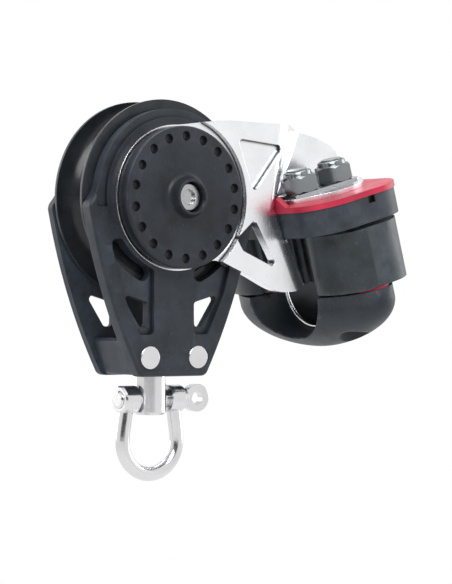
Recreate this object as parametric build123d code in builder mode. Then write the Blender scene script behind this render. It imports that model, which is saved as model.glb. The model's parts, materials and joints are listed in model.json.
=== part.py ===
# Swivel sailing block with a single ball bearing sheave, a one-sided cleat arm and a cam cleat.
#
# Frame in millimetres: the sheave's centre is the origin, the sheave turns about Y, +Z is up.
# The arm points along +X on the -Y side, which is the front. The shackle hangs below.
# The cleat has a frame of its own, tilted about Y: u along the rope, v across it, w up.

import os
from math import cos, hypot, radians, sin, sqrt

from build123d import *

# Sheave and its bearing
sheave_radius = 28.5
sheave_half_width = 7.1
groove_depth = 8.2
groove_land = 1.0
rim_wall = 4.9
race_gap = 2.8
ball_radius = 1.75
ball_count = 16
ball_row_offset = 3.6
race_clearance = 0.05
relief_inset = 2.6
relief_width = 5.6
relief_depth = 0.6

# Side plates
cheek_inner = 7.9
cheek_outer = 12.0
rear_outer = 10.8
web_depth = 1.5
ring_depth = 0.8
cheek_ring_radius = 25.6
cheek_ring_step = 23.3
shoulder_half = 28.8
shoulder_z = -3.4
shoulder_neck = 27.5
shoulder_neck_z = -0.7
shoulder_start = 10.0
waist_half = 24.0
waist_z = -22.0
cheek_bottom = -51.2
cheek_bottom_half = 11.6
bottom_corner = 2.5
cheek_edge_round = 0.8
slot_radius = 23.9
slot_width = 4.6
slot_start = 217.0
slot_sweep = 28.0
spine_half = 7.0
pocket_edge = [(21.8, -12.0), (20.3, -18.6), (17.8, -27.3), (12.0, -39.2)]
pocket_round = 1.4
window_corners = [(1.0, -30.0), (10.5, -27.3), (4.0, -37.0), (1.2, -37.2)]
window_round = 1.1

# Rivets and the head block between the side plates
rivet_radius = 3.3
rivet_shank = 2.4
rivet_x = 8.4
rivet_z = -45.7
rivet_head = 0.5
rivet_sink = 0.4
block_top = -40.3
block_half_top = 15.0
block_half_bottom = 10.6

# Swivel post and its washer
post_radius = 4.7
post_bottom = -62.6
post_head_radius = 6.6
post_head_height = 2.2
washer_height = 0.9
post_clearance = 0.05
pin_z = -58.1

# Shackle
pin_radius = 2.5
pin_clearance = 0.06
rod_radius = 2.1
bow_radius = 9.5
bow_outer_bottom = -82.0
ear_radius = 4.0
ear_inner = 5.6
ear_outer = 10.8
pin_end = 11.4
collar_radius = 3.2
collar_length = 1.0
eye_x = 16.2
eye_radius = 4.05
eye_hole = 1.9
eye_half_width = 1.25

# Arm hub, cover disc and centre bolt
boss_radius = 13.9
boss_face = 13.35
arm_bore_clearance = 0.1
arm_ring_radius = 20.9
arm_ring_face = 13.3
arm_back = 12.1
arm_front = 15.3
disc_radius = 20.4
disc_foot_radius = 19.7
disc_foot_height = 1.25
disc_recess_radius = 23.4
disc_face = 17.6
disc_edge_round = 0.7
dimple_count = 18
dimple_circle = 17.45
dimple_radius = 1.4
dimple_depth = 1.1
disc_hole = 4.4
dome_radius = 7.6
dome_rise = 3.6
dome_lip = 0.6
bolt_radius = 3.0
bolt_hole = 3.08
bolt_head_radius = 4.0
bolt_head_back = 17.3
bolt_head_front = 19.1
socket_radius = 2.3
socket_depth = 0.9
cap_radius = 13.9
cap_height = 3.2
nut_across_flats = 10.0
axle_nut_height = 5.0

# Cleat frame: where it stands and how it is tilted about Y
cleat_x = 53.8
cleat_z = -0.5
cleat_tilt = 15.5

# Cleat plates, as levels along w
plate_half_u = 18.4
plate_half_v = 33.3
plate_corner = 12.0
plate_bottom = 1.6
plate_top = 3.3
horn_height = 3.0
horn_wall = 1.8
horn_inner_v = 11.5
horn_top_v = 15.0
horn_outer_v = 18.5
horn_round = 1.0
horn_room = 0.3
housing_inset = 0.4
housing_bottom = -6.1
notch_u = 2.6
notch_width = 2.6
notch_height = 2.2
notch_depth = 1.4
cam_gap = 1.2
cam_height = 18.0
cam_front_inset = 2.2
shim_height = 0.6
shim_inset = 0.9
shim_front_u = -6.0

# Cams
pivot_u = -3.0
pivot_to_side = 14.3
sleeve_radius = 4.0
sleeve_clearance = 0.06
screw_radius = 2.5
screw_hole = 2.56
cam_back_radius = 8.5
cam_mouth_gap = 1.3
tooth_count = 11
tooth_depth = 0.9
spring_recess_radius = 6.9
spring_recess_depth = 4.4
spring_coil_radius = 5.6
spring_wire_radius = 0.55
spring_pitch = 1.3
spring_turns = 2.5

# Fairlead and its lining
fairlead_half_u = 14.0
fairlead_half_v = 33.6
fairlead_side = 3.5
fairlead_depth = 18.2
hull_power = 0.6
hull_steps = [0.0, 0.22, 0.42, 0.6, 0.74, 0.85, 0.93, 0.985]
mouth_half = 11.0
mouth_depth = 12.0
mouth_rise = 1.0
screw_seat_depth = 5.8
liner_wall = 0.8
liner_start_u = -2.4
liner_length = 11.9
liner_gap = 0.02
screw_head_radius = 4.3
screw_head_height = 2.6

# Arm
arm_top = 22.6
arm_bend_x = 31.0
arm_end_x = 74.0
cross_low = (-7.0, 31.2, 40.8)
cross_high = (22.6, 35.0, 55.0)
bend_top = (30.9, -3.9)
bend_low = (42.0, -26.6)
flange_inner_radius = 4.0
flange_sweep = 50.0
foot_half_u = 18.2
foot_half_v = 26.0
foot_height = 1.4
pocket_depth = 1.7
hole_round = 1.2
lower_hole = [(26.6, -5.6), (20.0, -11.4), (22.3, -14.9), (35.6, -20.4)]
upper_pocket = [(20.2, 17.8), (37.5, 16.2), (26.1, 1.7)]
nut_room = 0.4

# Mounting bolts of the cleat, through foot, plate and housing
mount_u = 6.8
mount_v = 12.6
mount_radius = 3.0
mount_hole = 3.1
washer_plate_height = 0.8
washer_plate_half_u = 12.6
washer_plate_half_v = 5.2
washer_plate_corner = 1.6
nut_height = 5.0
nut_collar_height = 1.5
nut_collar_radius = 4.3
mount_head_radius = 4.7
mount_head_height = 2.4
mount_bolt_end = 0.4
nut_thread_clearance = 0.03

# Values worked out from the above
groove_root = sheave_radius - groove_depth
sheave_bore = groove_root - rim_wall
hub_radius = sheave_bore - race_gap
ball_circle = (sheave_bore + hub_radius) / 2
arm_wall = arm_front - arm_back
cap_face = rear_outer + cap_height
pivot_v = plate_half_v - pivot_to_side
pivot_spots = [(pivot_u, -pivot_v), (pivot_u, pivot_v)]
cam_top = housing_bottom - cam_gap
cam_bottom = cam_top - cam_height
shim_bottom = cam_bottom - shim_height - 0.1
fairlead_top = shim_bottom
nut_corner = nut_across_flats / sqrt(3)
foot_top = plate_top + foot_height
nut_seat = foot_top + washer_plate_height
nut_top = nut_seat + nut_height + nut_collar_height
mount_head_seat = housing_bottom + 0.1
screw_head_top = fairlead_top - screw_seat_depth
mount_spots = [(u, v) for u in (-mount_u, mount_u) for v in (-mount_v, mount_v)]
rivet_spots = [(-rivet_x, rivet_z), (rivet_x, rivet_z)]
cleat_plane = Plane(
    origin=(cleat_x, 0, cleat_z),
    x_dir=(cos(radians(cleat_tilt)), 0, sin(radians(cleat_tilt))),
    z_dir=(-sin(radians(cleat_tilt)), 0, cos(radians(cleat_tilt))),
)


def cleat_at(level):
    """Plane of the cleat frame at a level along w."""
    return cleat_plane.offset(level)


def cleat_to_frame(u, v, w):
    """Point of the cleat frame as a point of the block's frame."""
    return cleat_plane.from_local_coords(Vector(u, v, w))


def across_cleat(u, w):
    """Plane across the rope in the cleat frame: its own x along v, its y along w, facing along u."""
    return Plane(origin=cleat_to_frame(u, 0, w), x_dir=(0, 1, 0), z_dir=cleat_plane.x_dir)


def side_plane(y):
    """Plane across Y at the given y, with its own x along X and y along Z, facing the front."""
    return Plane(origin=(0, y, 0), x_dir=(1, 0, 0), z_dir=(0, -1, 0))


def cheek_outline():
    """Outline of a side plate: a ring above, shoulders, and sides that curve in towards the bottom."""
    neck = (cheek_ring_radius * cos(radians(shoulder_start)), cheek_ring_radius * sin(radians(shoulder_start)))
    with BuildSketch(mode=Mode.PRIVATE) as outline:
        Circle(cheek_ring_radius)
        for side in (-1, 1):
            with BuildLine():
                Line((0, 0), (side * neck[0], neck[1]))
                Spline(
                    (side * neck[0], neck[1]),
                    (side * shoulder_neck, shoulder_neck_z),
                    (side * shoulder_half, shoulder_z),
                    tangents=[(side * sin(radians(shoulder_start)), -cos(radians(shoulder_start))), (0, -1)],
                )
                ThreePointArc(
                    (side * shoulder_half, shoulder_z),
                    (side * waist_half, waist_z),
                    (side * cheek_bottom_half, cheek_bottom),
                )
                Line((side * cheek_bottom_half, cheek_bottom), (0, cheek_bottom))
                Line((0, cheek_bottom), (0, 0))
            make_face()
        fillet(outline.vertices().filter_by_position(Axis.Y, cheek_bottom - 0.1, cheek_bottom + 0.1), bottom_corner)
    return outline.sketch


def pocket_outline(side):
    """Recess beside the spine, between the hub and the head block."""
    with BuildSketch(mode=Mode.PRIVATE) as pocket:
        with BuildLine():
            Polyline(
                (side * spine_half, pocket_edge[0][1]),
                *[(side * x, z) for x, z in pocket_edge],
                (side * spine_half, pocket_edge[-1][1]),
                close=True,
            )
        make_face()
        Circle(cheek_ring_step - 1.6, mode=Mode.SUBTRACT)
        fillet(pocket.vertices(), pocket_round)
    return pocket.sketch


def slot_outline(start):
    """Kidney slot round the hub, from a start angle."""
    end = start + slot_sweep
    half = slot_width / 2
    with BuildSketch(mode=Mode.PRIVATE) as slot:
        with BuildLine():
            CenterArc((0, 0), slot_radius + half, start, slot_sweep)
            CenterArc((slot_radius * cos(radians(end)), slot_radius * sin(radians(end))), half, end, 180)
            CenterArc((0, 0), slot_radius - half, end, -slot_sweep)
            CenterArc((slot_radius * cos(radians(start)), slot_radius * sin(radians(start))), half, start + 180, 180)
        make_face()
    return slot.sketch


def window_outline(side):
    """Opening through the side plate below the kidney slot."""
    with BuildSketch(mode=Mode.PRIVATE) as window:
        with BuildLine():
            Polyline(*[(side * (spine_half + x), z) for x, z in window_corners], close=True)
        make_face()
        fillet(window.vertices(), window_round)
    return window.sketch


def make_cheek(side, outer, raised_boss):
    """Side plate at the front (side -1) or the back (side 1), with its outer face at a depth."""
    def at(depth):
        return side_plane(side * depth)

    outward = -side
    with BuildPart() as cheek:
        with BuildSketch(at(cheek_inner)):
            add(cheek_outline())
        extrude(amount=outward * (outer - cheek_inner))
        rim = cheek.faces().sort_by(Axis.Y)[0 if side < 0 else -1].outer_wire().edges()
        fillet(rim, cheek_edge_round)
        # The ring beside the hub is one step lower than the body
        with BuildSketch(at(outer - ring_depth)):
            Circle(cheek_ring_radius + 1.0)
            Circle(cheek_ring_step, mode=Mode.SUBTRACT)
            with Locations((0, -cheek_ring_radius - 3.0)):
                Rectangle(2 * shoulder_half, 2 * cheek_ring_radius, mode=Mode.SUBTRACT)
        extrude(amount=outward * (ring_depth + 0.1), mode=Mode.SUBTRACT)
        for hand in (-1, 1):
            with BuildSketch(at(outer - web_depth)):
                add(pocket_outline(hand))
            extrude(amount=outward * (web_depth + 0.1), mode=Mode.SUBTRACT)
            middle = slot_start + slot_sweep / 2
            turn = middle if hand < 0 else 540.0 - middle
            with BuildSketch(at(cheek_inner - 0.1)):
                add(slot_outline(turn - slot_sweep / 2))
                add(window_outline(hand))
            extrude(amount=outward * (outer - cheek_inner + 0.2), mode=Mode.SUBTRACT)
        if raised_boss:
            with BuildSketch(at(outer - 0.5)):
                Circle(boss_radius)
            extrude(amount=outward * (boss_face - outer + 0.5))
        # Bores for the centre bolt and the rivets
        with BuildSketch(at(cheek_inner - 0.1)):
            Circle(bolt_hole)
            with Locations(*rivet_spots):
                Circle(rivet_shank)
        extrude(amount=outward * (boss_face - cheek_inner + 1.0), mode=Mode.SUBTRACT)
        with BuildSketch(at(outer - rivet_sink)):
            with Locations(*rivet_spots):
                Circle(rivet_radius)
        extrude(amount=outward * 1.0, mode=Mode.SUBTRACT)
    return cheek.part


def plate_outline(inset=0.0):
    """Rounded plan of the cleat's plates."""
    with BuildSketch(mode=Mode.PRIVATE) as plan:
        RectangleRounded(
            2 * (plate_half_u - inset),
            2 * (plate_half_v - inset),
            plate_corner - inset,
        )
    return plan.sketch


def cam_outline(side):
    """Plan of a cam in the cleat frame; side -1 is the front cam, and its mirror is the back cam."""
    inset = housing_inset + 0.2
    half_u = plate_half_u - cam_front_inset
    half_v = plate_half_v - inset
    corner = plate_corner - inset
    mouth = (half_u - 1.6, cam_mouth_gap)
    heel = (pivot_u - cam_back_radius * cos(radians(40)), pivot_v - cam_back_radius * sin(radians(40)))
    # The toothed face bulges towards the rope, and its teeth are cut square to it
    run = (mouth[0] - heel[0], mouth[1] - heel[1])
    length = hypot(*run)
    along = (run[0] / length, run[1] / length)
    bulge = 2.6
    teeth = []
    steps = 2 * tooth_count
    for step in range(1, steps):
        share = step / steps
        rise = bulge * 4 * share * (1 - share) - (tooth_depth if step % 2 else 0.0)
        teeth.append((
            heel[0] + run[0] * share + along[1] * rise,
            heel[1] + run[1] * share - along[0] * rise,
        ))
    points = [heel] + teeth + [mouth]
    points = [(u, side * v) for u, v in points]
    with BuildSketch(mode=Mode.PRIVATE) as plan:
        with BuildLine():
            Polyline(*points)
            Line(points[-1], (half_u, side * (cam_mouth_gap + 3.0)))
            Line((half_u, side * (cam_mouth_gap + 3.0)), (half_u, side * (half_v - corner)))
            ThreePointArc(
                (half_u, side * (half_v - corner)),
                (half_u - corner * (1 - cos(radians(45))), side * (half_v - corner * (1 - sin(radians(45))))),
                (half_u - corner, side * half_v),
            )
            Line((half_u - corner, side * half_v), (pivot_u + 2.0, side * half_v))
            Spline(
                (pivot_u + 2.0, side * half_v),
                (pivot_u - cam_back_radius * 0.86, side * (pivot_v + cam_back_radius * 0.75)),
                (pivot_u - cam_back_radius, side * pivot_v),
                points[0],
                tangents=[(-1, 0), (0.64, -side * 0.77)],
            )
        make_face()
    return plan.sketch


def hexagon(across_corners_radius):
    """Hexagon with a corner on its x axis."""
    with BuildSketch(mode=Mode.PRIVATE) as shape:
        RegularPolygon(across_corners_radius, 6)
    return shape.sketch


# Sheave: a concave groove between two thin lands, bored for the balls
with BuildPart() as sheave:
    with BuildSketch(Plane.XY):
        with BuildLine():
            edge = sheave_half_width - groove_land
            ThreePointArc((sheave_radius, -edge), (groove_root, 0), (sheave_radius, edge))
            Line((sheave_radius, edge), (sheave_radius, sheave_half_width))
            Line((sheave_radius, sheave_half_width), (sheave_bore, sheave_half_width))
            Line((sheave_bore, sheave_half_width), (sheave_bore, -sheave_half_width))
            Line((sheave_bore, -sheave_half_width), (sheave_radius, -sheave_half_width))
            Line((sheave_radius, -sheave_half_width), (sheave_radius, -edge))
        make_face()
        # Races for the two rows of balls, and a shallow relief on each side face
        with Locations((ball_circle, ball_row_offset), (ball_circle, -ball_row_offset)):
            Circle(ball_radius + race_clearance, mode=Mode.SUBTRACT)
        relief_middle = sheave_bore + relief_inset + relief_width / 2
        with Locations((relief_middle, sheave_half_width), (relief_middle, -sheave_half_width)):
            Rectangle(relief_width, 2 * relief_depth, mode=Mode.SUBTRACT)
    revolve(axis=Axis.Y)
sheave.part.label = "sheave"

# Hub: the fixed inner race, held between the side plates by the centre bolt
with BuildPart() as hub:
    with BuildSketch(Plane.XY):
        with BuildLine():
            Polyline(
                (bolt_hole, -cheek_inner),
                (hub_radius, -cheek_inner),
                (hub_radius, cheek_inner),
                (bolt_hole, cheek_inner),
                close=True,
            )
        make_face()
        with Locations((ball_circle, ball_row_offset), (ball_circle, -ball_row_offset)):
            Circle(ball_radius + race_clearance, mode=Mode.SUBTRACT)
    revolve(axis=Axis.Y)
hub.part.label = "hub"

# Balls: one row at each side of the mid-plane
ball_rows = []
for row, label in ((-1, "front_balls"), (1, "rear_balls")):
    with BuildPart() as balls:
        with BuildSketch(Plane.XY):
            with BuildLine():
                CenterArc((ball_circle, row * ball_row_offset), ball_radius, -90, 180)
                Line(
                    (ball_circle, row * ball_row_offset + ball_radius),
                    (ball_circle, row * ball_row_offset - ball_radius),
                )
            make_face()
        revolve(axis=Axis((ball_circle, row * ball_row_offset, 0), (0, 1, 0)))
        first_ball = balls.part
        for turn in range(1, ball_count):
            add(first_ball.rotate(Axis.Y, turn * 360 / ball_count))
    balls.part.label = label
    ball_rows.append(balls.part)

# Side plates: the front one carries the boss that the arm turns on
front_cheek = make_cheek(-1, cheek_outer, True)
front_cheek.label = "front_cheek"
rear_cheek = make_cheek(1, rear_outer, False)
rear_cheek.label = "rear_cheek"

# Head block: the moulded block between the side plates that carries the swivel post
with BuildPart() as head_block:
    with BuildSketch(side_plane(-cheek_inner)):
        with BuildLine():
            Polyline(
                (-block_half_top, block_top),
                (-block_half_bottom, cheek_bottom + 0.4),
                (block_half_bottom, cheek_bottom + 0.4),
                (block_half_top, block_top),
                close=True,
            )
        make_face()
    extrude(amount=-2 * cheek_inner)
    fillet(head_block.edges().filter_by(Axis.Y), 1.2)
    with BuildSketch(Plane.XY.offset(cheek_bottom - 1)):
        Circle(post_radius + post_clearance)
    extrude(amount=block_top - cheek_bottom + 2, mode=Mode.SUBTRACT)
    with BuildSketch(side_plane(-cheek_inner - 0.1)):
        with Locations(*rivet_spots):
            Circle(rivet_shank)
    extrude(amount=-2 * cheek_inner - 0.2, mode=Mode.SUBTRACT)
head_block.part.label = "head_block"

# Rivets: polished heads sunk in both side plates
with BuildPart() as rivets:
    with BuildSketch(side_plane(-cheek_outer + rivet_sink)):
        with Locations(*rivet_spots):
            Circle(rivet_shank)
    extrude(amount=-(cheek_outer + rear_outer - 2 * rivet_sink))
    for side, outer in ((-1, cheek_outer), (1, rear_outer)):
        with BuildSketch(side_plane(side * (outer - rivet_sink))):
            with Locations(*rivet_spots):
                Circle(rivet_radius)
        extrude(amount=-side * (rivet_sink + rivet_head))
    fillet(rivets.faces().filter_by(Axis.Y).group_by(Axis.Y)[0].edges(), 0.3)
    fillet(rivets.faces().filter_by(Axis.Y).group_by(Axis.Y)[-1].edges(), 0.3)
rivets.part.label = "rivets"

# Swivel post: headed above the head block, cross-drilled for the shackle pin below it
with BuildPart() as swivel_post:
    with BuildSketch(Plane.XY.offset(post_bottom)):
        Circle(post_radius)
    extrude(amount=block_top + washer_height - post_bottom + 0.5)
    with BuildSketch(Plane.XY.offset(block_top + washer_height)):
        Circle(post_head_radius)
    extrude(amount=post_head_height)
    chamfer(swivel_post.faces().sort_by(Axis.Z)[0].edges(), 0.7)
    chamfer(swivel_post.faces().sort_by(Axis.Z)[-1].edges(), 0.5)
    with BuildSketch(Plane.YZ.offset(-post_radius - 1)):
        with Locations((0, pin_z)):
            Circle(pin_radius + pin_clearance)
    extrude(amount=2 * post_radius + 2, mode=Mode.SUBTRACT)
swivel_post.part.label = "swivel_post"

# Swivel washer: the slippery disc that the post's head turns on
with BuildPart() as swivel_washer:
    with BuildSketch(Plane.XY.offset(block_top)):
        Circle(post_head_radius + 0.3)
        Circle(post_radius + post_clearance, mode=Mode.SUBTRACT)
    extrude(amount=washer_height - 0.05)
swivel_washer.part.label = "swivel_washer"

# Shackle bow: a round rod bent to a bow, with a drilled ear at each end
bow_centre_z = bow_outer_bottom + rod_radius + bow_radius
ear_middle = (ear_inner + ear_outer) / 2
with BuildPart() as shackle_bow:
    for side in (-1, 1):
        with BuildSketch(Plane.YZ.offset(side * ear_inner)):
            with Locations((0, pin_z)):
                Circle(ear_radius)
        extrude(amount=side * (ear_outer - ear_inner))
    chamfer(shackle_bow.faces().sort_by(Axis.X)[0].edges(), 0.5)
    chamfer(shackle_bow.faces().sort_by(Axis.X)[-1].edges(), 0.5)
    with BuildLine(side_plane(0)) as bow_path:
        Spline((-ear_middle, pin_z), (-bow_radius, bow_centre_z), tangents=[(0, -1), (0, -1)])
        ThreePointArc((-bow_radius, bow_centre_z), (0, bow_centre_z - bow_radius), (bow_radius, bow_centre_z))
        Spline((bow_radius, bow_centre_z), (ear_middle, pin_z), tangents=[(0, 1), (0, 1)])
    with BuildSketch(Plane(origin=(-ear_middle, 0, pin_z), z_dir=(0, 0, -1))):
        Circle(rod_radius)
    sweep(path=bow_path.wires()[0])
    with BuildSketch(Plane.YZ.offset(-ear_outer - 1)):
        with Locations((0, pin_z)):
            Circle(pin_radius + pin_clearance)
    extrude(amount=2 * ear_outer + 2, mode=Mode.SUBTRACT)
shackle_bow.part.label = "shackle_bow"

# Shackle pin: a plain shank, a collar that stops on the ear and a flat eye to turn it by
with BuildPart() as shackle_pin:
    with BuildSketch(Plane.YZ.offset(-pin_end)):
        with Locations((0, pin_z)):
            Circle(pin_radius)
    extrude(amount=pin_end + ear_outer + collar_length)
    chamfer(shackle_pin.faces().sort_by(Axis.X)[0].edges(), 0.5)
    with BuildSketch(Plane.YZ.offset(ear_outer)):
        with Locations((0, pin_z)):
            Circle(collar_radius)
    extrude(amount=collar_length)
    with BuildSketch(side_plane(-eye_half_width)):
        with Locations((eye_x, pin_z)):
            Circle(eye_radius)
        with Locations((ear_outer + 1.3, pin_z)):
            Rectangle(2.4, 2 * pin_radius)
    extrude(amount=-2 * eye_half_width)
    with BuildSketch(side_plane(-eye_half_width - 1)):
        with Locations((eye_x, pin_z)):
            Circle(eye_hole)
    extrude(amount=-2 * eye_half_width - 2, mode=Mode.SUBTRACT)
shackle_pin.part.label = "shackle_pin"

# Cover disc: a disc with a ring of dimples and a dome round its centre hole
with BuildPart() as cover_disc:
    with BuildSketch(Plane.XY):
        with BuildLine():
            step = -(boss_face + disc_foot_height)
            Polyline(
                (bolt_hole, -boss_face),
                (disc_foot_radius, -boss_face),
                (disc_foot_radius, step),
                (disc_radius, step),
                (disc_radius, -disc_face),
                (dome_radius, -disc_face),
            )
            Spline(
                (dome_radius, -disc_face),
                (disc_hole + dome_lip, -disc_face - dome_rise),
                tangents=[(-1, 0), (-0.5, -1)],
            )
            Polyline(
                (disc_hole + dome_lip, -disc_face - dome_rise),
                (disc_hole, -disc_face - dome_rise),
                (disc_hole, -bolt_head_back),
                (bolt_hole, -bolt_head_back),
                (bolt_hole, -boss_face),
            )
        make_face()
    revolve(axis=Axis.Y)
    fillet(cover_disc.edges().filter_by(GeomType.CIRCLE).filter_by(
        lambda rim: abs(rim.radius - disc_radius) < 0.01 and rim.center().Y < -disc_face + 0.01
    ), disc_edge_round)
    with BuildSketch(side_plane(-disc_face + dimple_depth)):
        with PolarLocations(dimple_circle, dimple_count, start_angle=90):
            Circle(dimple_radius)
    extrude(amount=dimple_depth + 1, mode=Mode.SUBTRACT)
cover_disc.part.label = "cover_disc"

# Rear cap: the plain washer-like disc that seats the nut on the back plate
with BuildPart() as rear_cap:
    with BuildSketch(side_plane(rear_outer)):
        Circle(cap_radius)
    extrude(amount=-cap_height)
    fillet(rear_cap.faces().sort_by(Axis.Y)[-1].edges(), 1.2)
    with BuildSketch(side_plane(rear_outer - 1)):
        Circle(bolt_hole)
    extrude(amount=-cap_height - 2, mode=Mode.SUBTRACT)
rear_cap.part.label = "rear_cap"

# Centre bolt: the axle of the block, with a star socket in its head
with BuildPart() as axle_bolt:
    with BuildSketch(side_plane(-bolt_head_back)):
        Circle(bolt_head_radius)
    extrude(amount=bolt_head_front - bolt_head_back)
    fillet(axle_bolt.faces().sort_by(Axis.Y)[0].edges(), 0.4)
    with BuildSketch(side_plane(-bolt_head_back)):
        Circle(bolt_radius)
    extrude(amount=-(bolt_head_back + cap_face + axle_nut_height + 1.0))
    with BuildSketch(side_plane(-bolt_head_front + socket_depth)):
        add(hexagon(socket_radius))
        with Locations(Rotation(0, 0, 30)):
            add(hexagon(socket_radius))
    extrude(amount=socket_depth + 1, mode=Mode.SUBTRACT)
axle_bolt.part.label = "axle_bolt"

# Centre nut at the back
with BuildPart() as axle_nut:
    with BuildSketch(side_plane(cap_face)):
        add(hexagon(nut_corner))
        Circle(bolt_radius + 0.03, mode=Mode.SUBTRACT)
    extrude(amount=-axle_nut_height)
axle_nut.part.label = "axle_nut"


# Where the lower limb leaves the hub ring
lower_limb_start = (arm_ring_radius * cos(radians(-62.9)), arm_ring_radius * sin(radians(-62.9)))


def arm_ribbon(start, end):
    """Plan of the arm's wall, which crosses from the front to the mid-plane between two places in X."""
    run = end - start
    drop = (arm_front + arm_back) / 2
    last = arm_end_x + 2.0
    front, back = [], []
    for k in range(11):
        share = k / 10
        x = start + share * run
        y = -drop * (1 - share * share * (3 - 2 * share))
        slope = drop * 6 * share * (1 - share) / run
        half = arm_wall / 2 / hypot(1, slope)
        front.append((x + slope * half, y - half))
        back.append((x - slope * half, y + half))
    with BuildSketch(mode=Mode.PRIVATE) as plan:
        with BuildLine():
            Line((arm_bend_x, -arm_front), (start, -arm_front))
            Spline(*front, tangents=[(1, 0), (1, 0)])
            Line((end, -arm_wall / 2), (last, -arm_wall / 2))
            Line((last, -arm_wall / 2), (last, arm_wall / 2))
            Line((last, arm_wall / 2), (end, arm_wall / 2))
            Spline(*back[::-1], tangents=[(-1, 0), (-1, 0)])
            Line((start, -arm_back), (arm_bend_x, -arm_back))
            Line((arm_bend_x, -arm_back), (arm_bend_x, -arm_front))
        make_face()
    return plan.sketch


def arm_upper_outline():
    """Side outline of the arm beyond its bend, down to the foot."""
    foot_left = cleat_to_frame(-foot_half_u + 2.5, 0, plate_top + foot_height / 2)
    foot_right = cleat_to_frame(foot_half_u + 0.6, 0, plate_top + foot_height / 2)
    plate_edge = cleat_to_frame(-plate_half_u - 1.4, 0, plate_top + 0.3)
    with BuildSketch(mode=Mode.PRIVATE) as outline:
        with BuildLine():
            Line((arm_bend_x, arm_top), (arm_bend_x + 8.0, arm_top))
            Spline(
                (arm_bend_x + 8.0, arm_top),
                (arm_end_x - 17.6, arm_top - 1.6),
                (arm_end_x - 5.0, arm_top - 7.2),
                (foot_right.X, foot_right.Z),
                tangents=[(1, 0), (0.35, -1)],
            )
            Line((foot_right.X, foot_right.Z), (foot_left.X, foot_left.Z))
            Line((foot_left.X, foot_left.Z), (plate_edge.X, plate_edge.Z))
            Line((plate_edge.X, plate_edge.Z), (arm_bend_x, bend_top[1]))
            Line((arm_bend_x, bend_top[1]), (arm_bend_x, arm_top))
        make_face()
    return outline.sketch


def arm_flat_outline():
    """Side outline of the arm's flat front wall, from the hub to the bend lines."""
    with BuildSketch(mode=Mode.PRIVATE) as outline:
        Circle(arm_ring_radius)
        with BuildLine():
            Spline(
                (0, arm_ring_radius),
                (14.0, arm_top),
                (arm_bend_x, arm_top),
                tangents=[(1, 0.1), (1, 0)],
            )
            Line((arm_bend_x, arm_top), (arm_bend_x, bend_top[1]))
            Line((arm_bend_x, bend_top[1]), bend_top)
            Line(bend_top, bend_low)
            Spline(
                bend_low,
                (35.4, -26.7),
                (32.2, -25.7),
                (24.8, -22.3),
                (15.6, -18.5),
                lower_limb_start,
                tangents=[(-1, -0.1), (-1, -0.3)],
            )
            Line(lower_limb_start, (0, 0))
            Line((0, 0), (0, arm_ring_radius))
        make_face()
    return outline.sketch


# The arm's wall beyond the bend: it crosses to mid-plane sooner at the bottom than at the top
with BuildPart() as crossing:
    for level, start, end in (cross_low, cross_high):
        with BuildSketch(Plane.XY.offset(level)):
            add(arm_ribbon(start, end))
    loft(ruled=True)
    with BuildSketch(side_plane(-arm_front - 2.0)):
        add(arm_upper_outline())
    extrude(amount=-(arm_front + arm_wall + 6.0), mode=Mode.INTERSECT)

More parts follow.
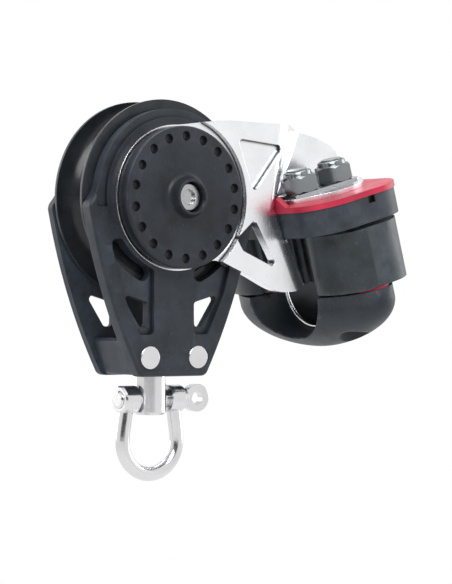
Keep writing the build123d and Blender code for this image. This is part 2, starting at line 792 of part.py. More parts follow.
# Cleat arm: hub ring, flat front wall, wall that crosses to mid-plane above the cleat, and foot
with BuildPart() as cleat_arm:
    with BuildSketch(side_plane(-arm_back)):
        add(arm_flat_outline())
    extrude(amount=arm_wall)
    add(crossing.part)
    # Lower flange: the wall curls back along the slanting bend line
    bend_run = (bend_low[0] - bend_top[0], bend_low[1] - bend_top[1])
    bend_length = hypot(*bend_run)
    flange_centre_y = -arm_front + arm_wall + flange_inner_radius
    flange_plane = Plane(
        origin=(bend_top[0], flange_centre_y, bend_top[1]),
        x_dir=(-bend_run[1] / bend_length, 0, bend_run[0] / bend_length),
        z_dir=(bend_run[0] / bend_length, 0, bend_run[1] / bend_length),
    )
    flange_turn = 1 if flange_plane.y_dir.Y > 0 else -1
    with BuildSketch(flange_plane):
        with BuildLine():
            outer = flange_inner_radius + arm_wall
            low = -90 * flange_turn
            sweep_angle = flange_sweep * flange_turn
            end = radians(low + sweep_angle)
            CenterArc((0, 0), outer, low, sweep_angle)
            Line((outer * cos(end), outer * sin(end)), (flange_inner_radius * cos(end), flange_inner_radius * sin(end)))
            CenterArc((0, 0), flange_inner_radius, low + sweep_angle, -sweep_angle)
            Line((0, -flange_turn * flange_inner_radius), (0, -flange_turn * outer))
        make_face()
    extrude(amount=bend_length)
    # Foot on the cleat plate, a lozenge with the wall standing on its middle
    with BuildSketch(cleat_at(plate_top)):
        Ellipse(foot_half_u, foot_half_v)
    extrude(amount=foot_height)
    with BuildSketch(cleat_at(plate_top - 0.5)):
        with Locations(*mount_spots):
            Circle(mount_hole)
    extrude(amount=foot_height + 1.0, mode=Mode.SUBTRACT)
    # Room for the cleat's plate and housing beside the flange
    with BuildSketch(cleat_at(housing_bottom - 0.5)):
        add(plate_outline(-0.3))
    extrude(amount=plate_top - housing_bottom + 0.5, mode=Mode.SUBTRACT)
    # Through hole in the lower limb
    with BuildSketch(side_plane(-arm_back + 1)):
        with BuildLine():
            Polyline(*lower_hole, close=True)
        make_face()
        fillet(vertices(), hole_round)
    extrude(amount=arm_front - arm_back + 2, mode=Mode.SUBTRACT)
    # Pocket in the upper limb
    with BuildSketch(side_plane(-arm_front + pocket_depth)):
        with BuildLine():
            Polyline(*upper_pocket, close=True)
        make_face()
        fillet(vertices(), hole_round)
    extrude(amount=pocket_depth + 1, mode=Mode.SUBTRACT)
    # Room beside the near horn of the cleat's plate
    with BuildSketch(across_cleat(-plate_half_u - horn_room, plate_top)):
        for side in (-1, 1):
            with Locations((side * (horn_inner_v + horn_outer_v) / 2, horn_height / 2)):
                Rectangle(horn_outer_v - horn_inner_v + 2 * horn_room, horn_height + 2 * horn_room)
    extrude(amount=horn_wall + 2 * horn_room, mode=Mode.SUBTRACT)
    # Room to turn the nuts beside the wall
    with BuildSketch(cleat_at(foot_top)):
        with Locations(*mount_spots):
            Circle(nut_corner + nut_room)
    extrude(amount=nut_top - foot_top + 1.0, mode=Mode.SUBTRACT)
    # Bore on the boss, and the round recess that the cover disc sits in
    with BuildSketch(side_plane(-arm_back + 1)):
        Circle(boss_radius + arm_bore_clearance)
    extrude(amount=arm_front - arm_back + 2, mode=Mode.SUBTRACT)
    with BuildSketch(side_plane(-arm_ring_face)):
        Circle(disc_recess_radius)
    extrude(amount=arm_front - arm_ring_face + 1, mode=Mode.SUBTRACT)
cleat_arm.part.label = "cleat_arm"

# Cleat plate: the red plate, with an upturned horn at each side of the rope's way in
with BuildPart() as cleat_plate_part:
    with BuildSketch(cleat_at(plate_bottom)):
        add(plate_outline())
    extrude(amount=plate_top - plate_bottom)
    with BuildSketch(across_cleat(-plate_half_u, plate_top)) as horns:
        for side in (-1, 1):
            with BuildLine():
                Polyline(
                    (side * horn_inner_v, -0.1),
                    (side * horn_inner_v, horn_height),
                    (side * horn_top_v, horn_height),
                    (side * horn_outer_v, -0.1),
                    close=True,
                )
            make_face()
        fillet(horns.vertices().filter_by_position(Axis.Y, horn_height - 0.1, horn_height + 0.1), horn_round)
    extrude(amount=horn_wall)
    with BuildSketch(cleat_at(plate_bottom - 0.5)):
        with Locations(*mount_spots):
            Circle(mount_hole)
    extrude(amount=plate_top - plate_bottom + 1.0, mode=Mode.SUBTRACT)
cleat_plate_part.part.label = "cleat_plate"

# Housing: the black block under the plate that holds the springs, the screws and the bolt heads
with BuildPart() as cleat_housing:
    with BuildSketch(cleat_at(housing_bottom)):
        add(plate_outline(housing_inset))
    extrude(amount=plate_bottom - housing_bottom)
    with BuildSketch(cleat_at(housing_bottom - 0.5)):
        with Locations(*pivot_spots):
            Circle(screw_hole)
        with Locations(*mount_spots):
            Circle(mount_hole)
    extrude(amount=plate_bottom - housing_bottom + 1.0, mode=Mode.SUBTRACT)
    with BuildSketch(cleat_at(housing_bottom - 0.1)):
        with Locations(*mount_spots):
            Circle(mount_head_radius + 0.1)
    extrude(amount=mount_head_height + 0.2, mode=Mode.SUBTRACT)
    with BuildSketch(cleat_at(plate_bottom - notch_height)):
        with Locations((notch_u, -plate_half_v + housing_inset)):
            Rectangle(notch_width, 2 * notch_depth)
    extrude(amount=notch_height + 1, mode=Mode.SUBTRACT)
cleat_housing.part.label = "cleat_housing"

# Cams: toothed towards the rope, round at the back, bored for their sleeves
cams = []
for side, label in ((-1, "near_cam"), (1, "far_cam")):
    with BuildPart() as cam:
        with BuildSketch(cleat_at(cam_bottom)):
            add(cam_outline(side))
            with Locations((pivot_u, side * pivot_v)):
                Circle(sleeve_radius + sleeve_clearance, mode=Mode.SUBTRACT)
        extrude(amount=cam_height)
        with BuildSketch(cleat_at(cam_top - spring_recess_depth)):
            with Locations((pivot_u, side * pivot_v)):
                Circle(spring_recess_radius)
        extrude(amount=spring_recess_depth + 1, mode=Mode.SUBTRACT)
    cam.part.label = label
    cams.append(cam.part)

# Cam sleeves: the tubes that the cams turn on, clamped between housing and fairlead
with BuildPart() as cam_sleeves:
    with BuildSketch(cleat_at(fairlead_top)):
        with Locations(*pivot_spots):
            Circle(sleeve_radius)
            Circle(screw_hole, mode=Mode.SUBTRACT)
    extrude(amount=housing_bottom - fairlead_top)
cam_sleeves.part.label = "cam_sleeves"

# Thrust washers: one red sheet under each cam, as wide as the fairlead's flat top
with BuildPart() as thrust_washers:
    with BuildSketch(cleat_at(shim_bottom)):
        Ellipse(fairlead_half_u - shim_inset, fairlead_half_v - shim_inset)
        Rectangle(2 * fairlead_half_u, 2 * (mouth_half + shim_inset), mode=Mode.SUBTRACT)
        with Locations((shim_front_u - fairlead_half_u, 0)):
            Rectangle(2 * fairlead_half_u, 2 * fairlead_half_v, mode=Mode.SUBTRACT)
        with Locations(*pivot_spots):
            Circle(sleeve_radius + sleeve_clearance, mode=Mode.SUBTRACT)
    extrude(amount=shim_height)
thrust_washers.part.label = "thrust_washers"

# Cam springs: a short coil round each sleeve in the top of the cam
springs = []
for side, label in ((-1, "near_cam_spring"), (1, "far_cam_spring")):
    low = cleat_to_frame(pivot_u, side * pivot_v, cam_top - spring_recess_depth + spring_wire_radius + 0.3)
    with BuildPart() as spring:
        with BuildLine() as coil:
            Helix(
                pitch=spring_pitch,
                height=spring_pitch * spring_turns,
                radius=spring_coil_radius,
                center=low,
                direction=cleat_plane.z_dir,
            )
        with BuildSketch(Plane(origin=coil.line @ 0, z_dir=coil.line % 0)):
            Circle(spring_wire_radius)
        sweep(is_frenet=True)
    spring.part.label = label
    springs.append(spring.part)

# Fairlead: a boat-shaped block below the cams, with a throat for the rope
with BuildPart() as fairlead:
    with BuildSketch(cleat_at(fairlead_top)):
        Ellipse(fairlead_half_u, fairlead_half_v)
    extrude(amount=-fairlead_side)
    for step in hull_steps:
        share = (1 - step * step) ** hull_power
        with BuildSketch(cleat_at(fairlead_top - fairlead_side - step * (fairlead_depth - fairlead_side))):
            Ellipse(fairlead_half_u * share, fairlead_half_v * share)
    loft()
    with BuildSketch(across_cleat(-fairlead_half_u - 1, fairlead_top)):
        with BuildLine():
            arc_w = mouth_half - mouth_depth
            Line((-mouth_half, mouth_rise), (-mouth_half, arc_w))
            ThreePointArc((-mouth_half, arc_w), (0, -mouth_depth), (mouth_half, arc_w))
            Line((mouth_half, arc_w), (mouth_half, mouth_rise))
            Line((mouth_half, mouth_rise), (-mouth_half, mouth_rise))
        make_face()
    extrude(amount=2 * fairlead_half_u + 2, mode=Mode.SUBTRACT)
    with BuildSketch(cleat_at(fairlead_top + 0.5)):
        with Locations(*pivot_spots):
            Circle(screw_hole)
    extrude(amount=-fairlead_depth - 2, mode=Mode.SUBTRACT)
    with BuildSketch(cleat_at(screw_head_top)):
        with Locations(*pivot_spots):
            Circle(screw_head_radius + 0.2)
    extrude(amount=-fairlead_depth, mode=Mode.SUBTRACT)
fairlead.part.label = "fairlead"


# Fairlead lining: a bent stainless sheet in the throat
with BuildPart() as fairlead_lining:
    with BuildSketch(across_cleat(liner_start_u, fairlead_top)):
        with BuildLine():
            outer = mouth_half - liner_gap
            inner = outer - liner_wall
            Line((-outer, 0), (-outer, arc_w))
            ThreePointArc((-outer, arc_w), (0, arc_w - outer), (outer, arc_w))
            Line((outer, arc_w), (outer, 0))
            Line((outer, 0), (inner, 0))
            Line((inner, 0), (inner, arc_w))
            ThreePointArc((inner, arc_w), (0, arc_w - inner), (-inner, arc_w))
            Line((-inner, arc_w), (-inner, 0))
            Line((-inner, 0), (-outer, 0))
        make_face()
    extrude(amount=liner_length)
fairlead_lining.part.label = "fairlead_lining"

# Cam screws: up through fairlead and sleeves into the housing
with BuildPart() as cam_screws:
    with BuildSketch(cleat_at(screw_head_top)):
        with Locations(*pivot_spots):
            Circle(screw_head_radius)
    extrude(amount=-screw_head_height)
    with BuildSketch(cleat_at(screw_head_top)):
        with Locations(*pivot_spots):
            Circle(screw_radius)
    extrude(amount=plate_bottom - 0.3 - screw_head_top)
    with BuildSketch(cleat_at(screw_head_top - screw_head_height)):
        with Locations(*pivot_spots):
            RegularPolygon(1.6, 6)
    extrude(amount=1.4, mode=Mode.SUBTRACT)
cam_screws.part.label = "cam_screws"

# Mounting bolts: heads sunk in the housing, shanks up through plate and foot
with BuildPart() as mount_bolts:
    with BuildSketch(cleat_at(mount_head_seat)):
        with Locations(*mount_spots):
            Circle(mount_head_radius)
    extrude(amount=mount_head_height)
    with BuildSketch(cleat_at(mount_head_seat)):
        with Locations(*mount_spots):
            Circle(mount_radius)
    extrude(amount=nut_top + mount_bolt_end - mount_head_seat)
mount_bolts.part.label = "mount_bolts"

# Washer plates: one under each pair of nuts
with BuildPart() as washer_plates:
    with BuildSketch(cleat_at(foot_top)):
        for side in (-1, 1):
            with Locations((0, side * mount_v)):
                RectangleRounded(2 * washer_plate_half_u, 2 * washer_plate_half_v, washer_plate_corner)
        with Locations(*mount_spots):
            Circle(mount_hole, mode=Mode.SUBTRACT)
    extrude(amount=washer_plate_height)
washer_plates.part.label = "washer_plates"

# Locknuts: hexagons with the round collar of the nylon insert on top
with BuildPart() as lock_nuts:
    with BuildSketch(cleat_at(nut_seat)):
        with Locations(*mount_spots):
            add(hexagon(nut_corner))
            Circle(mount_radius + nut_thread_clearance, mode=Mode.SUBTRACT)
    extrude(amount=nut_height)
    with BuildSketch(cleat_at(nut_seat + nut_height)):
        with Locations(*mount_spots):
            Circle(nut_collar_radius)
            Circle(mount_radius + nut_thread_clearance, mode=Mode.SUBTRACT)
    extrude(amount=nut_collar_height)
lock_nuts.part.label = "lock_nuts"

pieces = [
    sheave.part,
    hub.part,
    *ball_rows,
    front_cheek,
    rear_cheek,
    head_block.part,
    rivets.part,
    swivel_post.part,
    swivel_washer.part,
    shackle_bow.part,
    shackle_pin.part,
    cover_disc.part,
    rear_cap.part,
    axle_bolt.part,
    axle_nut.part,
    cleat_arm.part,
    cleat_plate_part.part,
    cleat_housing.part,
    *cams,
    cam_sleeves.part,
    thrust_washers.part,
    *springs,
    fairlead.part,
    fairlead_lining.part,
    cam_screws.part,
    mount_bolts.part,
    washer_plates.part,
    lock_nuts.part,
]
os.makedirs("parts", exist_ok=True)
for piece in pieces:
    export_step(piece, f"parts/{piece.label}.step")
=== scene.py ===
"""Looks of the sailing block: finishes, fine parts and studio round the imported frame. Metres, row frame."""

import json
from math import cos, pi, radians, sin, tan, tau

import bmesh
import bpy
from mathutils import Matrix, Vector


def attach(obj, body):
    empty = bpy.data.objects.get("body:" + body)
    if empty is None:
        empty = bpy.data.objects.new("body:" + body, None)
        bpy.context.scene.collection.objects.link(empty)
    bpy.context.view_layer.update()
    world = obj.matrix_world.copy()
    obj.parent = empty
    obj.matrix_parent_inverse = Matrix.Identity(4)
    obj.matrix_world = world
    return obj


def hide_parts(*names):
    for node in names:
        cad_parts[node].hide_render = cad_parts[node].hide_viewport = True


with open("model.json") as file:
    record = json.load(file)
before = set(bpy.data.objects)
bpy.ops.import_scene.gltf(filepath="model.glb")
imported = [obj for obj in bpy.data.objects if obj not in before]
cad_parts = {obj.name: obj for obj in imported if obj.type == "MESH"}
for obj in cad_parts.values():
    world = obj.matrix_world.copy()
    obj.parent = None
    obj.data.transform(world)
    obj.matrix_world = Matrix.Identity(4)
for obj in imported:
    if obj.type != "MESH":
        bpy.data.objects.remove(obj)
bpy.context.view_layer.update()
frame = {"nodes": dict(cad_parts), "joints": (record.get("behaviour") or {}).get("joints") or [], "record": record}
nodes = frame["nodes"]
joints = {joint["name"]: joint for joint in frame["joints"]}

MM = 0.001

# Camera, fitted to the photograph
CAMERA_AZIMUTH = radians(-36.754)
CAMERA_ROLL = radians(0.246)
CAMERA_DISTANCE = 0.68365
CAMERA_RIGHT = 0.022014
CAMERA_UP = -0.026924
CAMERA_LENS = 145.0
CAMERA_SENSOR = 36.0
CAMERA_CLIP = 0.01
TO_CAMERA = Vector((sin(CAMERA_AZIMUTH), -cos(CAMERA_AZIMUTH), 0))

# Floor: it turns from lit to plain white between the near and the far distance from its centre
FLOOR_LEVEL = -0.16
FLOOR_HALF = 4.0
FLOOR_COLOUR = (0.86, 0.86, 0.86, 1)
FLOOR_ROUGHNESS = 0.8
FLOOR_NEAR = 0.20
FLOOR_FAR = 0.34
FLOOR_GLOW = (0.8, 1.0)

# Room: its strength as a lamp, and its tones in gloss from the side behind the block to the camera's
ROOM_STRENGTH = 0.55
ROOM_TONES = [(0.0, 0.9), (0.16, 0.9), (0.24, 0.30), (0.32, 1.0), (0.86, 1.0), (0.93, 0.12), (1.0, 0.03)]

# Lamps: place, target, size and watts
LAMPS = {
    "key": ((-0.55, -0.75, 0.75), (0.02, 0, -0.02), (0.7, 0.7), 11.0),
    "fill": ((0.95, -0.15, 0.25), (0.03, 0, -0.02), (0.6, 0.8), 4.0),
    "top": ((0.05, 0.25, 0.9), (0.02, 0, 0.0), (0.8, 0.8), 6.0),
    "rim": ((-0.2, 0.9, 0.2), (0.02, 0, 0.0), (0.8, 0.6), 3.0),
}

# Plastics: colour, roughness, depth of the grain, wear along the edges, and whether flecks show
PLASTICS = {
    "nylon_black": ((0.0110, 0.0155, 0.0215), 0.46, 0.020 * MM, 0.35, True),
    "disc_black": ((0.0085, 0.0120, 0.0175), 0.42, 0.020 * MM, 0.35, True),
    "cam_black": ((0.0175, 0.0235, 0.0285), 0.40, 0.020 * MM, 0.35, True),
    "sheave_black": ((0.010, 0.012, 0.015), 0.22, 0.006 * MM, 0.2, False),
    "plate_red": ((0.34, 0.008, 0.030), 0.34, 0.010 * MM, 0.1, False),
    "bearing_white": ((0.75, 0.73, 0.68), 0.35, 0.005 * MM, 0.0, False),
}
# Metals: colour, roughness, stretch of the polishing marks, and reach of the painted shade in inner corners
METALS = {
    "stainless": ((0.72, 0.72, 0.73), 0.16, (1, 1, 1), 0.0),
    "arm_metal": ((0.88, 0.89, 0.91), 0.22, (1, 0.2, 0.2), 1.4 * MM),
    "nut_steel": ((0.24, 0.26, 0.27), 0.18, (1, 1, 1), 0.8 * MM),
    "washer_steel": ((0.46, 0.47, 0.48), 0.20, (1, 1, 1), 0.0),
    # Lining: steel painted dark, as painted shade and a painted dark reflection of the cleat's inside
    "lining_painted_shade": ((0.045, 0.047, 0.052), 0.30, (1, 1, 1), 0.0),
}
# Nodes whose steel looks darker than the rest of its slot; the lining's darkness is painted shade
OWN_FINISH = {
    "washer_plates": "washer_steel",
    "mount_bolts": "nut_steel",
    "axle_bolt": "washer_steel",
    "fairlead_lining": "lining_painted_shade",
}
# Blobs of noise to a metre
MOTTLE, FLECKS, RUBBED, SHEEN, PITS, GRAIN = 90.0, 2600.0, 260.0, 140.0, 900.0, 3400.0
SMUDGES, MARKS, WAVES = 110.0, 1500.0, 350.0
FLECK_STRETCH = (1, 1, 0.35)
PLASTIC_SPECULAR = 0.34
# Painted shade in the inner corners of plastics: its reach, and its colour as a share of the plastic's
PLASTIC_PAINTED_SHADE_REACH = 1.5 * MM
PLASTIC_PAINTED_SHADE_SHARE = 0.12
# Colour of the painted shade in the inner corners of metals
METAL_PAINTED_SHADE = (0.035, 0.037, 0.04)
SCRATCH_DEPTH = 0.006 * MM
SOFT_EDGE = 0.25 * MM

# Cleat: pivot of the near cam and levels of its pieces in its own axes
PIVOT = Vector((-3.0, -19.0, -16.3)) * MM
NUT_SPOTS = [(u * MM, v * MM) for u in (-6.8, 6.8) for v in (-12.6, 12.6)]
NUT_SEAT = 5.5 * MM
NUT_HEIGHT = 5.0 * MM
NUT_HALF_FLAT = 5.0 * MM
NUT_FACE_SHARE = 0.985
NUT_CHAMFER = radians(38)
NUT_STEPS = 72
RING_STEPS = 48
# Outlines of a nut's collar and of the nylon ring in it: radius, height above the flats, in mm
COLLAR = [(4.45, 0.0), (4.3, 0.3), (4.25, 0.95), (4.0, 1.35), (3.65, 1.5), (3.35, 1.3), (3.3, 0.6)]
NYLON = [(3.4, 0.5), (3.35, 1.05), (3.02, 1.15), (3.0, 0.5)]

# Fairlead: its throat, the flare cut into its mouth, and the rolled lip of its lining
FAIRLEAD_TOP = -26.0 * MM
THROAT_HALF = 11.0 * MM
THROAT_DEPTH = 12.0 * MM
FLARE_START = -2.6 * MM
FLARE_END = -17.0 * MM
FLARE_STEPS = 16
FLARE_REACH = 1.16
FLARE_WIDER = 9.0 * MM
FLARE_WIDER_POWER = 1.8
FLARE_DEEPER = 4.6 * MM
FLARE_DEEPER_POWER = 2.0
FLARE_RISE = 7.0 * MM
LIP_RADIUS = 0.6 * MM
LIP_INSET = 0.5 * MM
LIP_BACK = 0.3 * MM
LIP_STEPS = 12
WELD = 1e-6


def make_camera():
    """Camera that looks level at the block from its left front."""
    right = Vector((cos(CAMERA_AZIMUTH), sin(CAMERA_AZIMUTH), 0))
    up = Vector((0, 0, 1))
    data = bpy.data.cameras.new("camera")
    data.lens = CAMERA_LENS
    data.sensor_width = CAMERA_SENSOR
    data.clip_start = CAMERA_CLIP
    camera = bpy.data.objects.new("camera", data)
    place = TO_CAMERA * CAMERA_DISTANCE + right * CAMERA_RIGHT + up * CAMERA_UP
    rolled_right = right * cos(CAMERA_ROLL) + up * sin(CAMERA_ROLL)
    rolled_up = up * cos(CAMERA_ROLL) - right * sin(CAMERA_ROLL)
    turn = Matrix((rolled_right, rolled_up, TO_CAMERA)).transposed().to_4x4()
    camera.matrix_world = Matrix.Translation(place) @ turn
    bpy.context.scene.collection.objects.link(camera)
    bpy.context.scene.camera = camera


class Tree:
    """Short way to write the nodes of a material or of the world."""

    def __init__(self, owner):
        owner.use_nodes = True
        self.nodes = owner.node_tree.nodes
        self.links = owner.node_tree.links
        self.place = self.add("ShaderNodeTexCoord").outputs

    def add(self, kind, **values):
        node = self.nodes.new(kind)
        for key, value in values.items():
            setattr(node, key, value)
        return node

    def join(self, source, target):
        self.links.new(source, target)

    def math(self, operation, first, second):
        node = self.add("ShaderNodeMath", operation=operation)
        self.join(first, node.inputs[0])
        self.join(second, node.inputs[1])
        return node.outputs[0]

    def noise(self, per_metre, detail, rough=0.55, stretch=None):
        """Noise in object space with so many blobs to a metre."""
        texture = self.add("ShaderNodeTexNoise")
        texture.inputs["Scale"].default_value = per_metre
        texture.inputs["Detail"].default_value = detail
        texture.inputs["Roughness"].default_value = rough
        place = self.place["Object"]
        if stretch:
            mapping = self.add("ShaderNodeMapping")
            mapping.inputs["Scale"].default_value = stretch
            self.join(place, mapping.inputs["Vector"])
            place = mapping.outputs["Vector"]
        self.join(place, texture.inputs["Vector"])
        return texture.outputs["Fac"]

    def spread(self, value, low_in, high_in, low_out, high_out):
        """Value mapped from one range to another, held at its ends."""
        node = self.add("ShaderNodeMapRange")
        for socket, number in zip(node.inputs[1:5], (low_in, high_in, low_out, high_out)):
            socket.default_value = number
        self.join(value, node.inputs["Value"])
        return node.outputs["Result"]

    def ramp(self, value, stops):
        """Colour ramp with (position, colour) stops."""
        node = self.add("ShaderNodeValToRGB")
        elements = node.color_ramp.elements
        while len(elements) < len(stops):
            elements.new(0.5)
        for element, (position, colour) in zip(elements, stops):
            element.position = position
            element.color = (*colour, 1)
        self.join(value, node.inputs["Fac"])
        return node.outputs["Color"]

    def mix(self, share, first, second):
        """Colour mix of two linked or constant colours."""
        node = self.add("ShaderNodeMix", data_type="RGBA")
        for socket, source in ((node.inputs[0], share), (node.inputs[6], first), (node.inputs[7], second)):
            if isinstance(source, bpy.types.NodeSocket):
                self.join(source, socket)
            else:
                socket.default_value = source
        return node.outputs[2]

    def bump(self, layers):
        """Normal with softened edges and (height, depth in metres) layers on them."""
        soft = self.add("ShaderNodeBevel", samples=4)
        soft.inputs["Radius"].default_value = SOFT_EDGE
        normal = soft.outputs["Normal"]
        for height, depth in layers:
            node = self.add("ShaderNodeBump")
            node.inputs["Distance"].default_value = depth
            node.inputs["Strength"].default_value = 1.0
            self.join(height, node.inputs["Height"])
            self.join(normal, node.inputs["Normal"])
            normal = node.outputs["Normal"]
        return normal

    def painted_corner_shade(self, base, reach, colour, low=0.50, high=0.80):
        """The base colour with painted shade: darkened in inner corners within the reach."""
        near = self.add("ShaderNodeAmbientOcclusion", samples=8, only_local=True)
        near.inputs["Distance"].default_value = reach
        return self.mix(self.spread(near.outputs["AO"], low, high, 0.0, 1.0), (*colour, 1), base)

    def edges(self):
        """0 on flat faces, 1 on outward edges."""
        geometry = self.add("ShaderNodeNewGeometry")
        return self.spread(geometry.outputs["Pointiness"], 0.53, 0.60, 0.0, 1.0)

    def dress(self, base, rough, normal):
        """Links the shader's colour, roughness and normal, and returns the shader."""
        shader = self.nodes["Principled BSDF"]
        self.join(base, shader.inputs["Base Color"])
        self.join(rough, shader.inputs["Roughness"])
        self.join(normal, shader.inputs["Normal"])
        return shader


def scaled(colour, factor, added=0.0):
    return tuple(min(1.0, factor * c + added) for c in colour)


def moulded(name, colour, roughness, grain, worn, flecked):
    """Moulded plastic: mottled, slightly pitted, paler along its edges and darker in its corners from painted
    shade.
    """
    material = bpy.data.materials.new(name)
    tree = Tree(material)
    base = tree.ramp(
        tree.noise(MOTTLE, 4.0), [(0.35, scaled(colour, 0.72)), (0.65, scaled(colour, 1.35, 0.004))]
    )
    if flecked:
        fleck = tree.spread(tree.noise(FLECKS, 2.0, stretch=FLECK_STRETCH), 0.66, 0.74, 0.0, 0.30)
        base = tree.mix(fleck, base, (*scaled(colour, 5, 0.05), 1))
    rubbed = tree.spread(tree.noise(RUBBED, 3.0), 0.35, 0.7, 0.1, worn)
    rubbed = tree.math("MULTIPLY", tree.edges(), rubbed)
    base = tree.mix(rubbed, base, (*scaled(colour, 4, 0.03), 1))
    # Painted shade: inner corners darkened by how enclosed they are
    base = tree.painted_corner_shade(base, PLASTIC_PAINTED_SHADE_REACH, scaled(colour, PLASTIC_PAINTED_SHADE_SHARE), 0.45, 0.85)
    rough = tree.spread(tree.noise(SHEEN, 4.0), 0.3, 0.7, roughness - 0.06, roughness + 0.08)
    normal = tree.bump([(tree.noise(PITS, 3.0), grain * 2), (tree.noise(GRAIN, 2.0), grain)])
    tree.dress(base, rough, normal).inputs["Specular IOR Level"].default_value = PLASTIC_SPECULAR
    return material


def polished(name, colour, roughness, stretch, corner_shade_reach):
    """Metal with fine polishing marks and smudges, and painted shade in its inner corners."""
    material = bpy.data.materials.new(name)
    tree = Tree(material)
    smudge = tree.noise(SMUDGES, 4.0)
    base = tree.ramp(smudge, [(0.3, scaled(colour, 0.90)), (0.7, colour)])
    # Painted shade in the inner corners
    if corner_shade_reach:
        base = tree.painted_corner_shade(base, corner_shade_reach, METAL_PAINTED_SHADE)
    marks = tree.noise(MARKS, 5.0, 0.7, stretch)
    rough = tree.math(
        "ADD",
        tree.spread(marks, 0.3, 0.7, roughness - 0.03, roughness + 0.05),
        tree.spread(smudge, 0.3, 0.7, -0.02, 0.05),
    )
    normal = tree.bump([(marks, SCRATCH_DEPTH), (tree.noise(WAVES, 2.0), SCRATCH_DEPTH * 2)])
    tree.dress(base, rough, normal).inputs["Metallic"].default_value = 1.0
    return material


MATERIALS = {name: moulded(name, *look) for name, look in PLASTICS.items()}
MATERIALS.update({name: polished(name, *look) for name, look in METALS.items()})


def dress_nodes():
    """Each CAD node gets the material of its slot, or its own finish."""
    slots = {part["node"]: part["material_slot"] for part in frame["record"]["subparts"]}
    for name, node in nodes.items():
        node.data.materials.clear()
        node.data.materials.append(MATERIALS[OWN_FINISH.get(name, slots[name])])


def cleat_matrix():
    """The cleat's own axes: x along the rope, y across it and z up through its plates."""
    joint = joints["near_cam_turn"]
    across = Vector((0, 1, 0))
    up = Vector(joint["axis"]).normalized()
    turn = Matrix((across.cross(up), across, up)).transposed()
    origin = Vector(joint["pos_m"]) - turn @ PIVOT
    return Matrix.Translation(origin) @ turn.to_4x4()


CLEAT = cleat_matrix()


def as_mesh(name, bm, matrix):
    """Mesh of the shape, moved into the row frame, with its faces turned outwards."""
    bm.transform(matrix)
    bmesh.ops.recalc_face_normals(bm, faces=bm.faces)
    mesh = bpy.data.meshes.new(name)
    bm.to_mesh(mesh)
    bm.free()
    return mesh


def add_piece(name, mesh, slot, body, sharp, finish=None):
    """Piece with the material of its finish, else of its slot, on its body, whose edges over so many degrees stay
    sharp.
    """
    mesh.materials.clear()
    mesh.materials.append(MATERIALS[finish or slot])
    mesh.shade_smooth()
    mesh.set_sharp_from_angle(angle=radians(sharp))
    piece = bpy.data.objects.new(name, mesh)
    bpy.context.scene.collection.objects.link(piece)
    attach(piece, body)
    return piece


def skin(rings, caps=True):
    """Shape with faces between rings of points, and flat caps on the first and last ring."""
    bm = bmesh.new()
    rows = [[bm.verts.new(point) for point in ring] for ring in rings]
    count = len(rows[0])
    for low, high in zip(rows, rows[1:]):
        for k in range(count):
            after = (k + 1) % count
            bm.faces.new((low[k], low[after], high[after], high[k]))
    if caps:
        bm.faces.new(rows[0])
        bm.faces.new(rows[-1][::-1])
    return bm


def turned_rings(profile, around):
    """Rings of a turned shape on a nut's flats, from (radius, height) points in mm."""
    turns = [tau * k / around for k in range(around)]
    return [
        [(radius * MM * cos(turn), radius * MM * sin(turn), NUT_HEIGHT + height * MM) for turn in turns]
        for radius, height in profile
    ]


def hexagon_rings():
    """Rings of a nut's flats, whose chamfered ends leave arched edges."""
    angles = [tau * k / NUT_STEPS for k in range(NUT_STEPS)]
    reach = [NUT_HALF_FLAT / cos((angle % (tau / 6)) - tau / 12) for angle in angles]
    inner = NUT_HALF_FLAT * NUT_FACE_SHARE
    rings = []
    for level, inward in ((0.0, 1), (NUT_HEIGHT, -1)):
        face = [(inner * cos(angle), inner * sin(angle), level) for angle in angles]
        edge = []
        for angle, radius in zip(angles, reach):
            cut = (radius - NUT_HALF_FLAT) * tan(NUT_CHAMFER)
            edge.append((radius * cos(angle), radius * sin(angle), level + inward * cut))
        rings += [face, edge] if inward > 0 else [edge, face]
    return rings


def make_locknuts():
    """Locknuts: flats with arched tops, and a rolled collar with its nylon ring."""
    for index, (u, v) in enumerate(NUT_SPOTS):
        place = CLEAT @ Matrix.Translation((u, v, NUT_SEAT))
        name = f"locknut_{index}"
        nut = as_mesh(name, skin(hexagon_rings() + turned_rings(COLLAR, NUT_STEPS)), place)
        add_piece(name, nut, "stainless", "arm", 28.0, "nut_steel")
        name = f"nylon_ring_{index}"
        ring = as_mesh(name, skin(turned_rings(NYLON, RING_STEPS), caps=False), place)
        add_piece(name, ring, "bearing_white", "arm", 35.0)
    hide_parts("lock_nuts")


def u_path(half, depth, rise, arc_steps=24, side_steps=4):
    """Points of a U that is open above, from its left end to its right end."""
    low = half - depth
    turns = [pi * k / arc_steps for k in range(arc_steps + 1)]
    left = [(-half, rise + (low - rise) * k / side_steps) for k in range(side_steps)]
    arc = [(-half * cos(turn), low - half * sin(turn)) for turn in turns]
    right = [(half, low + (rise - low) * k / side_steps) for k in range(1, side_steps + 1)]
    return left + arc + right


def flare_mesh():
    """What the flare takes out of the mouth: a U that widens and deepens outwards."""
    rings = []
    for k in range(FLARE_STEPS + 1):
        share = k / FLARE_STEPS * FLARE_REACH
        u = FLARE_START + (FLARE_END - FLARE_START) * k / FLARE_STEPS
        half = THROAT_HALF + FLARE_WIDER * share ** FLARE_WIDER_POWER
        depth = THROAT_DEPTH + FLARE_DEEPER * share ** FLARE_DEEPER_POWER
        rings.append([(u, v, FAIRLEAD_TOP + w) for v, w in u_path(half, depth, FLARE_RISE)])
    return as_mesh("flare", skin(rings), CLEAT)


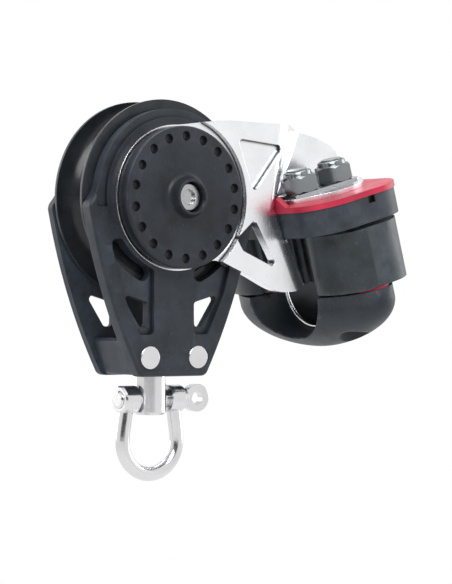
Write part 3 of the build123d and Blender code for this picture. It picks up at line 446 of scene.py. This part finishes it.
def make_fairlead():
    """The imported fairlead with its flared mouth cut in."""
    tool = bpy.data.objects.new("flare", flare_mesh())
    body = bpy.data.objects.new("flared", nodes["fairlead"].data.copy())
    for item in (tool, body):
        bpy.context.scene.collection.objects.link(item)
    bm = bmesh.new()
    bm.from_mesh(body.data)
    bmesh.ops.remove_doubles(bm, verts=bm.verts, dist=WELD)
    bm.to_mesh(body.data)
    bm.free()
    cut = body.modifiers.new("cut", "BOOLEAN")
    cut.operation = "DIFFERENCE"
    cut.solver = "EXACT"
    cut.object = tool
    bpy.context.view_layer.update()
    cut_body = body.evaluated_get(bpy.context.evaluated_depsgraph_get())
    mesh = bpy.data.meshes.new_from_object(cut_body)
    mesh.name = "fairlead_hull"
    for item in (tool, body):
        bpy.data.objects.remove(item)
    piece = add_piece("fairlead_hull", mesh, "nylon_black", "arm", 30.0)
    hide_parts("fairlead")


def make_lip():
    """Rolled lip: a round bead along the edge of the lining."""
    outline = u_path(THROAT_HALF - LIP_INSET, THROAT_DEPTH - LIP_INSET, 0.0, 40, 6)
    path = [Vector((FLARE_START + LIP_BACK, v, FAIRLEAD_TOP + w)) for v, w in outline]
    side = Vector((1, 0, 0))
    rings = []
    for k, point in enumerate(path):
        ahead = (path[min(k + 1, len(path) - 1)] - path[max(k - 1, 0)]).normalized()
        other = ahead.cross(side)
        turns = [tau * n / LIP_STEPS for n in range(LIP_STEPS)]
        rings.append([point + (side * cos(turn) + other * sin(turn)) * LIP_RADIUS for turn in turns])
    add_piece("lining_lip", as_mesh("lining_lip", skin(rings), CLEAT), "stainless", "arm", 60.0)


def make_lamps():
    for name, (place, target, size, watts) in LAMPS.items():
        data = bpy.data.lights.new(name, "AREA")
        data.shape = "RECTANGLE"
        data.size, data.size_y = size
        data.energy = watts
        lamp = bpy.data.objects.new(name, data)
        turn = (Vector(target) - Vector(place)).to_track_quat("-Z", "Y").to_matrix().to_4x4()
        lamp.matrix_world = Matrix.Translation(place) @ turn
        bpy.context.scene.collection.objects.link(lamp)


def make_world():
    """White surroundings; metal and gloss show them with a dark side towards the camera's place."""
    world = bpy.data.worlds.new("studio")
    bpy.context.scene.world = world
    tree = Tree(world)
    rays = tree.add("ShaderNodeLightPath").outputs
    shown = tree.math("MAXIMUM", rays["Is Glossy Ray"], rays["Is Transmission Ray"])
    shown = tree.math("MAXIMUM", rays["Is Camera Ray"], shown)
    background = tree.nodes["Background"]
    tree.join(tree.spread(shown, 0.0, 1.0, ROOM_STRENGTH, 1.0), background.inputs["Strength"])
    facing = tree.add("ShaderNodeVectorMath", operation="DOT_PRODUCT")
    facing.inputs[1].default_value = TO_CAMERA
    tree.join(tree.place["Generated"], facing.inputs[0])
    stops = [(position, (tone, tone, tone)) for position, tone in ROOM_TONES]
    room = tree.ramp(tree.spread(facing.outputs["Value"], -1.0, 1.0, 0.0, 1.0), stops)
    tree.join(tree.mix(rays["Is Glossy Ray"], (1, 1, 1, 1), room), background.inputs["Color"])


def make_floor():
    """Plain pale floor, which keeps the object's shadow near it and is white further off."""
    bpy.ops.mesh.primitive_plane_add(size=2 * FLOOR_HALF, location=(0, 0, FLOOR_LEVEL))
    floor = bpy.context.object
    floor.name = "floor"
    material = bpy.data.materials.new("floor_white")
    tree = Tree(material)
    shader = tree.nodes["Principled BSDF"]
    shader.inputs["Base Color"].default_value = FLOOR_COLOUR
    shader.inputs["Roughness"].default_value = FLOOR_ROUGHNESS
    rays = tree.add("ShaderNodeLightPath").outputs
    reach = tree.add("ShaderNodeVectorMath", operation="LENGTH")
    tree.join(tree.place["Object"], reach.inputs[0])
    fade = tree.spread(reach.outputs["Value"], FLOOR_NEAR, FLOOR_FAR, *FLOOR_GLOW)
    seen = tree.math("MAXIMUM", rays["Is Camera Ray"], rays["Is Glossy Ray"])
    glow = tree.add("ShaderNodeEmission")
    blend = tree.add("ShaderNodeMixShader")
    tree.join(tree.math("MULTIPLY", seen, fade), blend.inputs[0])
    tree.join(shader.outputs[0], blend.inputs[1])
    tree.join(glow.outputs[0], blend.inputs[2])
    tree.join(blend.outputs[0], tree.nodes["Material Output"].inputs["Surface"])
    floor.data.materials.append(material)


make_camera()
dress_nodes()
make_locknuts()
make_fairlead()
make_lip()
make_world()
make_floor()
make_lamps()
bpy.context.scene.view_settings.view_transform = "Standard"
